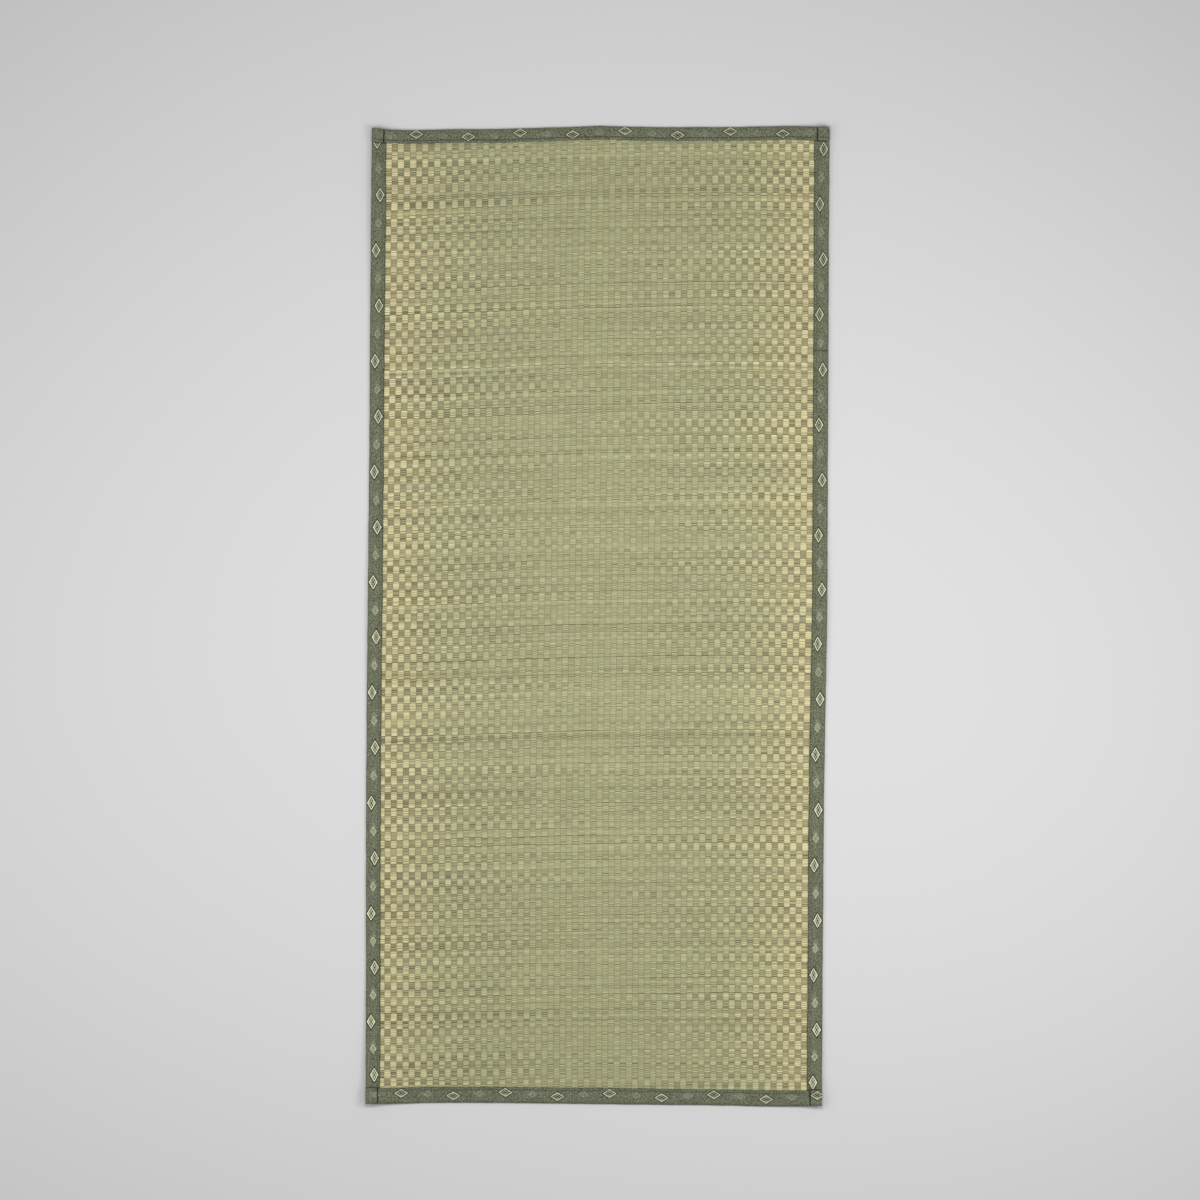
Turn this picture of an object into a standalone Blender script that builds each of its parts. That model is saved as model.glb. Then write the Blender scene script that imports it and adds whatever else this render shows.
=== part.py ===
"""A flat rush floor mat, about 0.70 by 1.50 m, bound on all four edges with woven cloth tape.

X runs across the mat, Y along it and Z up. The mat lies on z = 0 with its middle at the origin.
"""
import bisect
import math
from collections import namedtuple

import bmesh
import bpy

# Sizes in metres
MAT_WIDTH = 0.7015
MAT_LENGTH = 1.4955
RUSH_THICK = 0.0030
VALLEY_THICK = 0.0022
RIM_THICK = 0.0024
TAPE_THICK = 0.0010
GAP = 0.0003
LAYER = TAPE_THICK + GAP

# Ribs of the weave: the rushes dive between one column of checks and the next
RIB_COUNT = 71

# Tape: width seen on the face, width turned under, and depth of the fold round the edge
SIDE_TAPE_WIDTH = 0.0232
LEFT_TAPE_WIDTH = 0.0223
FAR_TAPE_WIDTH = 0.0208
NEAR_TAPE_WIDTH = 0.0245
UNDER_WIDTH = 0.0200
FOLD_DEPTH = 0.0026
FOLD_ANGLES = (90, 45, 15, -15, -45, -90)
RIM_INSET = 0.0032
RUSH_START = 0.0006
RIB_FADE = 0.0040

# Across a tape's face: the flat lip, the dip where it is sewn, and the puffed cloth outside it
LIP_WIDTH = 0.0034
SEAM_INSET = 0.0048
CROWN_START = 0.0022
LIP_RISE = 0.0002
SHOULDER_RISE = 0.0007
CROWN_RISE = 0.0010

# The mat rises on to the turned-under tape between these distances from its edge
RAMP_START = 0.0215
RAMP_END = 0.0550

# An end tape climbs on to the side tape between these distances from the side
CLIMB_START = 0.0262
CLIMB_END = 0.0240

# The end tape's tail is turned back over each corner
TAB_LENGTH = 0.0170
TAB_START = 0.0012
TURN_RADIUS = 0.0004
TURN_ANGLES = (-30, 30, 90)
TAIL_REACH = 0.6

# A lifted edge settles to the floor over this distance
LIFT_REACH = 0.090

# Middle of the finished mat's box, against the rectangle that the tables below start from
BOX_MIDDLE_X = 0.00024
BOX_MIDDLE_Y = -0.00018

# Edge lines against a straight 0.7015 by 1.4955 m rectangle: the mat leans and its sides bow
SideRow = namedtuple("SideRow", "along left right")
SIDES = (
    SideRow(-0.7478, -0.0040, -0.0072),
    SideRow(-0.4840, -0.0038, -0.0053),
    SideRow(-0.2390, -0.0033, -0.0032),
    SideRow(0.0060, -0.0010, 0.0010),
    SideRow(0.2500, 0.0013, 0.0023),
    SideRow(0.4950, 0.0032, 0.0033),
    SideRow(0.7478, 0.0058, 0.0045),
)
EndRow = namedtuple("EndRow", "across near far")
ENDS = (
    EndRow(-0.3508, 0.0016, -0.0008),
    EndRow(-0.3075, 0.0010, -0.0035),
    EndRow(-0.2310, 0.0026, -0.0023),
    EndRow(-0.1540, 0.0024, -0.0018),
    EndRow(-0.0320, 0.0012, 0.0018),
    EndRow(0.0020, 0.0007, 0.0028),
    EndRow(0.0900, -0.0003, 0.0008),
    EndRow(0.2120, -0.0018, 0.0014),
    EndRow(0.2890, -0.0032, 0.0026),
    EndRow(0.3508, -0.0018, 0.0010),
)

# Height by which the side edges stand off the floor
LiftRow = namedtuple("LiftRow", "along left right")
LIFTS = (
    LiftRow(-0.7478, 0.0075, 0.0050),
    LiftRow(-0.6700, 0.0038, 0.0022),
    LiftRow(-0.5500, 0.0, 0.0),
    LiftRow(-0.1500, 0.0, 0.0),
    LiftRow(0.0150, 0.0026, 0.0032),
    LiftRow(0.1800, 0.0, 0.0),
    LiftRow(0.3600, 0.0006, 0.0020),
    LiftRow(0.5000, 0.0020, 0.0012),
    LiftRow(0.6680, 0.0064, 0.0026),
    LiftRow(0.7478, 0.0038, 0.0030),
)

# Sections of the panel and the side tapes between the ends' own, closer where an edge lifts
MIDDLE_STATIONS = (
    -0.655, -0.62, -0.58, -0.54, -0.35, -0.15, -0.07, 0.015, 0.10, 0.18, 0.36, 0.48, 0.54, 0.58, 0.62, 0.655,
)

# Depths from a side edge at which the plain underside keeps a column
UNDERSIDE_DEPTHS = (RIM_INSET, 0.0116, RAMP_START, 0.030, 0.038, 0.046, RAMP_END, 0.072, LIFT_REACH, 0.22)

# Colours as linear red, green, blue
RUSH_GREEN = (0.445, 0.451, 0.231)
TAPE_GREEN = (0.157, 0.175, 0.109)


def read_off(rows, place, column):
    """Value of a table's column at a place, on a smooth curve through its rows."""
    places = [row[0] for row in rows]
    values = [getattr(row, column) for row in rows]
    last = len(rows) - 1
    place = min(max(place, places[0]), places[last])
    low = min(bisect.bisect_right(places, place), last) - 1
    span = places[low + 1] - places[low]
    share = (place - places[low]) / span

    def rise(index):
        before = max(index - 1, 0)
        after = min(index + 1, last)
        return span * (values[after] - values[before]) / (places[after] - places[before])

    blend = share * share * (3 - 2 * share)
    start = values[low] * (1 - blend) + rise(low) * share * (1 - share) ** 2
    end = values[low + 1] * blend - rise(low + 1) * share * share * (1 - share)
    return start + end


def eased(distance, start, end):
    """One before start, zero past end, with a soft slope between."""
    share = min(max((distance - start) / (end - start), 0.0), 1.0)
    return 1 - share * share * (3 - 2 * share)


def from_side(across):
    """Distance of a point from the nearer side edge."""
    return MAT_WIDTH / 2 - abs(across)


def from_end(along):
    """Distance of a point from the nearer end."""
    return MAT_LENGTH / 2 - abs(along)


def on_floor(across, along):
    """Floor position, x and y, of a point of the mat as it was cut."""
    left = -MAT_WIDTH / 2 + read_off(SIDES, along, "left")
    right = MAT_WIDTH / 2 + read_off(SIDES, along, "right")
    near = -MAT_LENGTH / 2 + read_off(ENDS, across, "near")
    far = MAT_LENGTH / 2 + read_off(ENDS, across, "far")
    x = left + (right - left) * (across / MAT_WIDTH + 0.5)
    y = near + (far - near) * (along / MAT_LENGTH + 0.5)
    return x - BOX_MIDDLE_X, y - BOX_MIDDLE_Y


def lift(across, along):
    """Height of the mat's underside over the floor where an edge stands off it."""
    side = "left" if across < 0 else "right"
    reach = 1 - min(from_side(across) / LIFT_REACH, 1.0)
    return max(read_off(LIFTS, along, side), 0.0) * reach * reach


def on_side_tape(across):
    """Share of a tape layer that the side tape puts under the mat here."""
    return eased(from_side(across), RAMP_START, RAMP_END)


def on_end_tape(along):
    """Share of a tape layer that the end tape puts under the mat here."""
    return eased(from_end(along), RAMP_START, RAMP_END)


def rush_underside(across, along):
    """Height of the rush panel's underside, on the tape turned under it."""
    return lift(across, along) + LAYER * (on_side_tape(across) + on_end_tape(along))


def end_tape_width(along):
    """Width seen of the end tape nearest to a point."""
    return FAR_TAPE_WIDTH if along > 0 else NEAR_TAPE_WIDTH


def rib_places():
    """Across positions of the ribs' valleys and crests, valley first and last."""
    first = -MAT_WIDTH / 2 + SIDE_TAPE_WIDTH + RUSH_START
    step = -2 * first / (2 * RIB_COUNT)
    return [first + step * index for index in range(2 * RIB_COUNT + 1)]


def grid_surface(columns, rows, place):
    """Open grid of columns by rows; place(column, row) gives each point."""
    shape = bmesh.new()
    bmesh.ops.create_grid(shape, x_segments=columns - 1, y_segments=rows - 1, size=1.0)
    spot = {}
    for point in shape.verts:
        column = round((point.co.x + 1) / 2 * (columns - 1))
        row = round((point.co.y + 1) / 2 * (rows - 1))
        spot[column, row] = point
    for (column, row), point in spot.items():
        point.co = place(column, row)
    return shape, spot


def add_object(shape, name, material):
    """New object of the shape, in the mat's collection, with its material."""
    mesh = bpy.data.meshes.new(name)
    shape.to_mesh(mesh)
    shape.free()
    mesh.shade_smooth()
    mesh.set_sharp_from_angle(angle=math.radians(50))
    mesh.materials.append(material)
    piece = bpy.data.objects.new(name, mesh)
    mat_collection.objects.link(piece)
    return piece


def add_material(name, colour, roughness):
    """Plain material with the piece's own colour."""
    material = bpy.data.materials.new(name)
    material.use_nodes = True
    shader = material.node_tree.nodes["Principled BSDF"]
    shader.inputs["Base Color"].default_value = (*colour, 1.0)
    shader.inputs["Roughness"].default_value = roughness
    shader.inputs["Metallic"].default_value = 0.0
    material.diffuse_color = (*colour, 1.0)
    return material


def panel_stations():
    """Along positions of the panel's and the side tapes' sections, near end first."""
    half = MAT_LENGTH / 2
    near_rush = NEAR_TAPE_WIDTH + RUSH_START
    far_rush = FAR_TAPE_WIDTH + RUSH_START
    near = [-half + depth for depth in (RIM_INSET, near_rush, near_rush + RIB_FADE, RAMP_END)]
    far = [half - depth for depth in (RAMP_END, far_rush + RIB_FADE, far_rush, RIM_INSET)]
    return near + list(MIDDLE_STATIONS) + far


def rush_panel(material):
    """The woven rushes: a thin slab, ribbed lengthwise on its face and plain below."""
    rim = [MAT_WIDTH / 2 - depth for depth in UNDERSIDE_DEPTHS[:2]]
    places = [-rim[0], -rim[1]] + rib_places() + [rim[1], rim[0]]
    stations = panel_stations()
    first_valley = 2
    last_valley = len(places) - 3

    def thickness(column, along):
        rush_end = from_end(along) - end_tape_width(along) - RUSH_START
        if column <= first_valley or column >= last_valley:
            return RIM_THICK
        rib = RUSH_THICK if column % 2 else VALLEY_THICK
        return rib + (RIM_THICK - rib) * eased(rush_end, 0, RIB_FADE)

    def face_point(column, row):
        across, along = places[column], stations[row]
        height = rush_underside(across, along) + thickness(column, along)
        return (*on_floor(across, along), height)

    shape, spot = grid_surface(len(places), len(stations), face_point)
    column_of = {point: key for key, point in spot.items()}
    place_of = {tuple(point.co): column_of[point] for point in shape.verts}
    made = bmesh.ops.extrude_face_region(shape, geom=shape.faces[:], use_keep_orig=True)
    below = {}
    for item in made["geom"]:
        if isinstance(item, bmesh.types.BMVert):
            below[place_of[tuple(item.co)]] = item
    for (column, row), point in below.items():
        across, along = places[column], stations[row]
        point.co.z = rush_underside(across, along)

    kept = underside_columns(places)
    joined = {}
    for (column, row), point in below.items():
        nearest = min(kept, key=lambda index: abs(places[index] - places[column]))
        if nearest != column:
            joined[point] = below[nearest, row]
    bmesh.ops.weld_verts(shape, targetmap=joined)
    bmesh.ops.recalc_face_normals(shape, faces=shape.faces[:])
    return add_object(shape, "rush_panel", material)


def underside_columns(places):
    """Columns that the plain underside keeps: its rim, the ramp and a few across the middle."""
    half = MAT_WIDTH / 2
    wanted = [side * (half - depth) for depth in UNDERSIDE_DEPTHS for side in (-1, 1)]
    return sorted({min(range(len(places)), key=lambda index: abs(places[index] - x)) for x in wanted})


ProfilePoint = namedtuple("ProfilePoint", "depth level raise_by normal_out normal_up")


def tape_profile(width):
    """Outer skin of a folded tape, from its edge on the face round to its edge underneath.

    Depth is measured in from the mat's edge. Level is 1 on the face and 0 underneath.
    """
    seam = width - SEAM_INSET
    face = (
        ProfilePoint(width, 1.0, 0.0, 0.0, 1.0),
        ProfilePoint(width - LIP_WIDTH, 1.0, LIP_RISE, 0.0, 1.0),
        ProfilePoint(seam, 1.0, 0.0, 0.0, 1.0),
        ProfilePoint(seam - CROWN_START, 1.0, SHOULDER_RISE, 0.0, 1.0),
        ProfilePoint(0.5 * seam, 1.0, CROWN_RISE, 0.0, 1.0),
    )
    fold = []
    for angle in FOLD_ANGLES:
        out = math.cos(math.radians(angle))
        up = math.sin(math.radians(angle))
        depth = FOLD_DEPTH * (1 - out)
        fold.append(ProfilePoint(depth, 0.5 + 0.5 * up, 0.0, out, up))
    under = (ProfilePoint(UNDER_WIDTH, 0.0, 0.0, 0.0, -1.0),)
    return face + tuple(fold) + under


def face_out(shape, probe):
    """Turn the surface so that the probe face looks up, its skin facing out."""
    shape.normal_update()
    if probe.normal.z < 0:
        bmesh.ops.reverse_faces(shape, faces=shape.faces[:])


def thicken(piece):
    """Give the tape its thickness, inward from the drawn skin."""
    cloth = piece.modifiers.new("tape thickness", "SOLIDIFY")
    cloth.thickness = TAPE_THICK
    cloth.offset = -1
    cloth.use_even_offset = True


def side_tape(name, side, material):
    """Tape folded round one long edge; side is -1 for the left edge and 1 for the right."""
    profile = tape_profile(SIDE_TAPE_WIDTH if side > 0 else LEFT_TAPE_WIDTH)
    stations = panel_stations()

    def skin_point(column, row):
        point = profile[column]
        along = stations[row]
        across = side * (MAT_WIDTH / 2 - point.depth)
        inward = side * (MAT_WIDTH / 2 - max(point.depth, FOLD_DEPTH))
        covered = eased(from_end(along) - end_tape_width(along), RUSH_START, RIB_FADE)
        bottom = lift(inward, along) + LAYER * on_end_tape(along)
        top = rush_underside(inward, along) + RIM_THICK + LAYER
        height = bottom + (top - bottom) * point.level + point.raise_by * (1 - covered)
        return (*on_floor(across, along), height)

    shape, spot = grid_surface(len(profile), len(stations), skin_point)
    face_out(shape, spot[1, 1].link_faces[0])
    piece = add_object(shape, name, material)
    thicken(piece)
    return piece


TapeColumn = namedtuple("TapeColumn", "depth raise_by tail")


def corner_columns():
    """Sections of an end tape from its tail's end to the middle, depth in from the side edge."""
    tail = [TapeColumn(share * TAB_LENGTH, GAP, True) for share in (1.0, 0.65, 0.30)]
    for angle in reversed(TURN_ANGLES):
        out = math.cos(math.radians(angle))
        up = math.sin(math.radians(angle))
        tail.append(TapeColumn(TAB_START - TURN_RADIUS * out, TURN_RADIUS * (1 + up), True))
    depths = (TAB_START, 0.008, 0.016, CLIMB_END, CLIMB_START, 0.034, 0.042, RAMP_END, 0.072, LIFT_REACH)
    return tail + [TapeColumn(depth, 0.0, False) for depth in depths]


def end_tape(name, end, width, material):
    """Tape folded round one end, over the side tapes, its two tails turned back at the corners.

    End is -1 for the near end and 1 for the far end.
    """
    profile = tape_profile(width)
    left = [(column, -1) for column in corner_columns()]
    right = [(column, 1) for column in reversed(corner_columns())]
    middle = [(TapeColumn(MAT_WIDTH / 2 - abs(row.across), 0.0, False), math.copysign(1, row.across))
              for row in ENDS[2:-2]]
    sections = left + middle + right

    def skin_point(column, row):
        section, side = sections[column]
        point = profile[row]
        across = side * (MAT_WIDTH / 2 - section.depth)
        inward = end * (MAT_LENGTH / 2 - max(point.depth, FOLD_DEPTH))
        climb = eased(section.depth, CLIMB_END, CLIMB_START)
        bottom = lift(across, inward)
        top = rush_underside(across, inward) + RIM_THICK + LAYER * (1 + climb)
        height = bottom + (top - bottom) * point.level + point.raise_by * (1 - climb)
        depth = point.depth - section.raise_by * point.normal_out
        height += section.raise_by * point.normal_up
        return (*on_floor(across, end * (MAT_LENGTH / 2 - depth)), height)

    shape, spot = grid_surface(len(sections), len(profile), skin_point)
    face_out(shape, spot[len(sections) // 2, 1].link_faces[0])
    spare = [point for (column, row), point in spot.items()
             if sections[column][0].tail and profile[row].normal_up < TAIL_REACH]
    bmesh.ops.delete(shape, geom=spare, context="VERTS")
    piece = add_object(shape, name, material)
    thicken(piece)
    return piece


for old_object in list(bpy.data.objects):
    bpy.data.objects.remove(old_object, do_unlink=True)

mat_collection = bpy.data.collections.new("rush_floor_mat")
bpy.context.scene.collection.children.link(mat_collection)

rush_panel(add_material("rush", RUSH_GREEN, 0.60))
tape = add_material("tape", TAPE_GREEN, 0.85)
side_tape("side_tape_left", -1, tape)
side_tape("side_tape_right", 1, tape)
end_tape("end_tape_near", -1, NEAR_TAPE_WIDTH, tape)
end_tape("end_tape_far", 1, FAR_TAPE_WIDTH, tape)
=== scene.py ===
"""Looks of a rush floor mat bound with patterned tape."""
import math

import bpy
import numpy as np
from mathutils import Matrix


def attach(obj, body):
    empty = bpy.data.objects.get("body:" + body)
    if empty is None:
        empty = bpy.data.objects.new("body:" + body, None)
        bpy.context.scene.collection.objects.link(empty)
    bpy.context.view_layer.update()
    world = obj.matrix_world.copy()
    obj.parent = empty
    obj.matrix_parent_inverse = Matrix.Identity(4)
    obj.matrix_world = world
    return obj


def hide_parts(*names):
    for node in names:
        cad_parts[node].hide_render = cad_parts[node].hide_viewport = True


# Sizes of the mat as it was cut, in metres, as in the solids
MAT_WIDTH = 0.7015
MAT_LENGTH = 1.4955
RIM_THICK = 0.0024
TAPE_THICK = 0.0010
LAYER = 0.0013

# Tapes: widths on the face, width turned under, depth of the fold, and where rushes and ribs start
SIDE_TAPE_WIDTH = 0.0232
LEFT_TAPE_WIDTH = 0.0223
FAR_TAPE_WIDTH = 0.0208
NEAR_TAPE_WIDTH = 0.0245
UNDER_WIDTH = 0.0200
FOLD_DEPTH = 0.0026
RIM_INSET = 0.0032
RUSH_START = 0.0006
RIB_FADE = 0.0040

# Across a tape's face: the flat lip, the dip at the seam, and the puffed cloth outside it
LIP_WIDTH = 0.0034
SEAM_INSET = 0.0048
CROWN_START = 0.0022
LIP_RISE = 0.0002
SHOULDER_RISE = 0.0007
CROWN_RISE = 0.0010

# From an edge: the mat rises on to the turned-under tape, and an end tape climbs on to a side tape
RAMP_START = 0.0215
RAMP_END = 0.0550
CLIMB_START = 0.0262
CLIMB_END = 0.0240

# The end tape's tail, turned back over each corner
TAB_LENGTH = 0.0170
TAB_START = 0.0012
TURN_RADIUS = 0.0004
TAIL_REACH = 0.6
TAIL_GAP = 0.0003

# A lifted edge settles over this distance; then the middle of the mat's box against the tables below
LIFT_REACH = 0.090
BOX_MIDDLE_X = 0.00024
BOX_MIDDLE_Y = -0.00018

# Edge lines against a straight rectangle: place along, left, right
SIDES = np.array((
    (-0.7478, -0.0040, -0.0072),
    (-0.4840, -0.0038, -0.0053),
    (-0.2390, -0.0033, -0.0032),
    (0.0060, -0.0010, 0.0010),
    (0.2500, 0.0013, 0.0023),
    (0.4950, 0.0032, 0.0033),
    (0.7478, 0.0058, 0.0045),
))
# Place across, near, far
ENDS = np.array((
    (-0.3508, 0.0016, -0.0008),
    (-0.3075, 0.0010, -0.0035),
    (-0.2310, 0.0026, -0.0023),
    (-0.1540, 0.0024, -0.0018),
    (-0.0320, 0.0012, 0.0018),
    (0.0020, 0.0007, 0.0028),
    (0.0900, -0.0003, 0.0008),
    (0.2120, -0.0018, 0.0014),
    (0.2890, -0.0032, 0.0026),
    (0.3508, -0.0018, 0.0010),
))
# Height of the side edges off the floor: place along, left, right
LIFTS = np.array((
    (-0.7478, 0.0075, 0.0050),
    (-0.6700, 0.0038, 0.0022),
    (-0.5500, 0.0, 0.0),
    (-0.1500, 0.0, 0.0),
    (0.0150, 0.0026, 0.0032),
    (0.1800, 0.0, 0.0),
    (0.3600, 0.0006, 0.0020),
    (0.5000, 0.0020, 0.0012),
    (0.6680, 0.0064, 0.0026),
    (0.7478, 0.0038, 0.0030),
))

# The weave: columns of checks across, eight picks to a check along
COLUMNS = 71
COLUMNS_SHOWN = 70.6
PICKS_PER_CHECK = 8
FIRST_PICK = 12
LAST_PICK = 969
PICK_ZERO = 68
STRIP_COUNT = 4
FIELD_WIDTH = MAT_WIDTH - 2 * SIDE_TAPE_WIDTH
COLUMN_PITCH = FIELD_WIDTH / COLUMNS_SHOWN
# Points across one column of checks, and the arch of the floats over them
COLUMN_STEPS = (0.0, 0.12, 0.35, 0.65, 0.88)
COLUMN_ARCH = (0.0, 0.70, 1.0, 1.0, 0.70)
# Thickness at a float, at a hidden pick, between two checks, and where the picks dive; then of the plain body
CREST = 0.00306
VALLEY = 0.00238
CHECK_GAP = 0.00282
DIVE = 0.00222
SLAB_THICK = 0.00172
BULGE_ACROSS = 0.00018
BULGE_ALONG = 0.00030
# How much of the first column shows beside the left tape: place along, share
FIRST_COLUMN = np.array((
    (-0.75, 0.60), (-0.534, 0.59), (-0.182, 0.56), (0.177, 0.65), (0.537, 0.77), (0.75, 0.82),
))
# The picks are beaten up unevenly: place along, how far they lie beyond an even run
PICK_DRIFT = np.array((
    (-0.720, -0.0060), (-0.680, -0.0037), (-0.645, -0.0014), (-0.580, -0.0005), (-0.130, 0.0005),
    (-0.050, 0.0020), (0.025, 0.0023), (0.100, 0.0006), (0.250, 0.0020), (0.410, 0.0020),
    (0.560, 0.0006), (0.620, 0.0014), (0.655, 0.0034), (0.690, 0.0046), (0.735, 0.0050),
))
# The picks rise to the right: place along, rise at its highest; and the share of it across the field
PICK_RISE = np.array((
    (-0.75, 0.0062), (-0.573, 0.0084), (-0.320, 0.0099), (-0.091, 0.0116),
    (0.139, 0.0138), (0.368, 0.0151), (0.598, 0.0147), (0.75, 0.0143),
))
RISE_SHARE = np.array((
    (0.0, 0.0), (0.12, 0.17), (0.23, 0.37), (0.35, 0.58), (0.46, 0.745),
    (0.57, 0.85), (0.69, 0.92), (0.80, 1.0), (0.91, 0.95), (1.0, 0.90),
))

# How far the relief runs in under the tapes
RELIEF_TUCK = 0.0030
# First pair of picks at the left tape, pitch of the pairs, and how the pitch changes on the way
FIRST_PAIR = 0.63815
PAIR_PITCH = 0.024472
PITCH_GROWTH = 0.00001983
PITCH_FADE = 0.000000358

# The right tape is made of two lengths, the far one lapped over the near one here
JOIN_PLACE = 0.4068
JOIN_RISE = 0.0004
JOIN_LAP = 0.0140
JOIN_EDGE = 0.0002
# Run of an end tape with its tails, and where its even sections and its stitches start
END_TAPE_RUN = 0.735
EVEN_START = 0.0228
STITCH_START = 0.0225

# Stitches follow one column of a tape's points and leave out some sections at a side tape's ends
SEAM_COLUMN = 6
BARE_SECTIONS = 8
STITCH_PITCH = 0.0040
STITCH_SIDES = 6
# One stitch: distance along it, its radius there and how far it stands over the seam
STITCH = np.array((
    (0.0, 0.00005, -0.00020),
    (0.0003, 0.00024, 0.00002),
    (0.0010, 0.00032, 0.00016),
    (0.0018, 0.00032, 0.00016),
    (0.0025, 0.00024, 0.00002),
    (0.0028, 0.00005, -0.00020),
))

# The tape's pattern: pitch of the large diamonds, their swing to either side, and half sizes
MOTIF_PITCH = 0.0840
MOTIF_SWING = 0.00265
LARGE_DIAMOND = (0.0108, 0.0065)
SMALL_DIAMOND = (0.0078, 0.0052)
TRAIL_DIAMOND = (0.0066, 0.0050)
# Small diamonds and the trail beside each: how far along and in from the middle between two large ones
SMALL_ALONG = 0.0010
TRAIL_ALONG = 0.0064
SMALL_INWARD = 0.0006
BEAD_PITCH = 0.0048
WARP_PITCH = 0.0011
WEFT_PITCH = 0.0009

# Gains that match the colours to the scene's light; the pale thread's gain lifts it above white, a painted
# sheen
RUSH_GAIN = 1.17
TAPE_GAIN = 1.25
PALE_GAIN = 1.38

chance = np.random.default_rng(11)


def slopes(table, column):
    """Slope of a smooth curve at each row of a table."""
    before = np.maximum(np.arange(len(table)) - 1, 0)
    after = np.minimum(np.arange(len(table)) + 1, len(table) - 1)
    return (table[after, column] - table[before, column]) / (table[after, 0] - table[before, 0])


def read_off(table, place, column=1):
    """Values of a table's column at places, on a smooth curve through its rows."""
    place = np.clip(place, table[0, 0], table[-1, 0])
    low = np.clip(np.searchsorted(table[:, 0], place, side="right"), 1, len(table) - 1) - 1
    span = table[low + 1, 0] - table[low, 0]
    share = (place - table[low, 0]) / span
    blend = share * share * (3 - 2 * share)
    slope = slopes(table, column)
    start = table[low, column] * (1 - blend) + span * slope[low] * share * (1 - share) ** 2
    end = table[low + 1, column] * blend - span * slope[low + 1] * share * share * (1 - share)
    return start + end


def eased(distance, start, end):
    """One before start, zero past end, with a soft slope between."""
    share = np.clip((distance - start) / (end - start), 0, 1)
    return 1 - share * share * (3 - 2 * share)


def from_side(across):
    """Distance of points from the nearer side edge."""
    return MAT_WIDTH / 2 - np.abs(across)


def from_end(along):
    """Distance of points from the nearer end."""
    return MAT_LENGTH / 2 - np.abs(along)


def side_tape_width(across):
    """Width seen of the side tape nearest to points."""
    return np.where(across < 0, LEFT_TAPE_WIDTH, SIDE_TAPE_WIDTH)


def end_tape_width(along):
    """Width seen of the end tape nearest to points."""
    return np.where(along > 0, FAR_TAPE_WIDTH, NEAR_TAPE_WIDTH)


def clear_of_tapes(across, along):
    """Distance of points from the inner edge of the nearest tape, less than zero under a tape."""
    return np.minimum(from_side(across) - side_tape_width(across), from_end(along) - end_tape_width(along))


def end_lines(across):
    """Near and far ends of the mat at places across."""
    near = -MAT_LENGTH / 2 + read_off(ENDS, across, 1)
    far = MAT_LENGTH / 2 + read_off(ENDS, across, 2)
    return near, far


def on_floor(across, along):
    """Floor position, x and y, of points of the mat as it was cut."""
    left = -MAT_WIDTH / 2 + read_off(SIDES, along, 1)
    right = MAT_WIDTH / 2 + read_off(SIDES, along, 2)
    near, far = end_lines(across)
    x = left + (right - left) * (across / MAT_WIDTH + 0.5)
    y = near + (far - near) * (along / MAT_LENGTH + 0.5)
    return x - BOX_MIDDLE_X, y - BOX_MIDDLE_Y


def along_at(across, y):
    """Place along of floor positions y."""
    near, far = end_lines(across)
    return ((y + BOX_MIDDLE_Y - near) / (far - near) - 0.5) * MAT_LENGTH


def lift(across, along):
    """Height of the mat's underside where an edge stands off the floor."""
    edge = np.where(across < 0, read_off(LIFTS, along, 1), read_off(LIFTS, along, 2))
    return np.maximum(edge, 0) * (1 - np.minimum(from_side(across) / LIFT_REACH, 1)) ** 2


def on_end_tape(along):
    """Share of a tape layer that the end tape puts under the mat."""
    return eased(from_end(along), RAMP_START, RAMP_END)


def rush_underside(across, along):
    """Height of the rush panel's underside, on the tape turned under it."""
    return lift(across, along) + LAYER * (eased(from_side(across), RAMP_START, RAMP_END) + on_end_tape(along))


def soft_noise(size, knots):
    """Smooth chance values over a grid of that size, from a coarse grid of knots."""
    coarse = chance.normal(size=knots)
    for axis in (0, 1):
        place = np.linspace(0, knots[axis] - 1.001, size[axis])
        low = place.astype(int)
        share = place - low
        blend = share * share * (3 - 2 * share)
        blend = blend[:, None] if axis == 0 else blend[None, :]
        start = np.take(coarse, low, axis=axis)
        coarse = start + (np.take(coarse, low + 1, axis=axis) - start) * blend
    return coarse


def soft_line(places, pitch):
    """Smooth chance values along a line, one knot to each pitch."""
    span = places.max() - places.min()
    knots = max(int(span / pitch) + 2, 3)
    values = chance.normal(size=knots)
    table = np.column_stack((np.linspace(places.min(), places.max(), knots), values))
    return read_off(table, places)


# Meshes

def grid_normals(points):
    """Unit normals of a grid of points."""
    down = np.gradient(points, axis=0)
    right = np.gradient(points, axis=1)
    normals = np.cross(down, right)
    return normals / np.maximum(np.linalg.norm(normals, axis=2, keepdims=True), 1e-12)


def grid_quads(shape, keep):
    """Corner numbers of a grid's kept cells."""
    number = np.arange(shape[0] * shape[1]).reshape(shape)
    corners = (number[:-1, :-1], number[:-1, 1:], number[1:, 1:], number[1:, :-1])
    return np.stack(corners, axis=-1)[keep]


def new_object(name, data):
    """New object of some data, in the scene."""
    made = bpy.data.objects.new(name, data)
    bpy.context.scene.collection.objects.link(made)
    return made


def add_piece(name, points, quads, uvs, marks, finish):
    """New piece on the mat's body from points and four-cornered faces, with its marks for the finish."""
    used, corners = np.unique(quads, return_inverse=True)
    mesh = bpy.data.meshes.new(name)
    mesh.from_pydata(points[used].tolist(), [], corners.reshape(-1, 4).tolist())
    bake = mesh.uv_layers.new(name="OFBake")
    bake.data.foreach_set("uv", np.asarray(uvs, dtype=np.float32).ravel())
    for mark, values in marks.items():
        layer = mesh.attributes.new(mark, "FLOAT_VECTOR", "POINT")
        layer.data.foreach_set("vector", np.asarray(values[used], dtype=np.float32).ravel())
    mesh.shade_smooth()
    mesh.materials.append(finish)
    piece = new_object(name, mesh)
    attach(piece, "root")
    return piece


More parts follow.
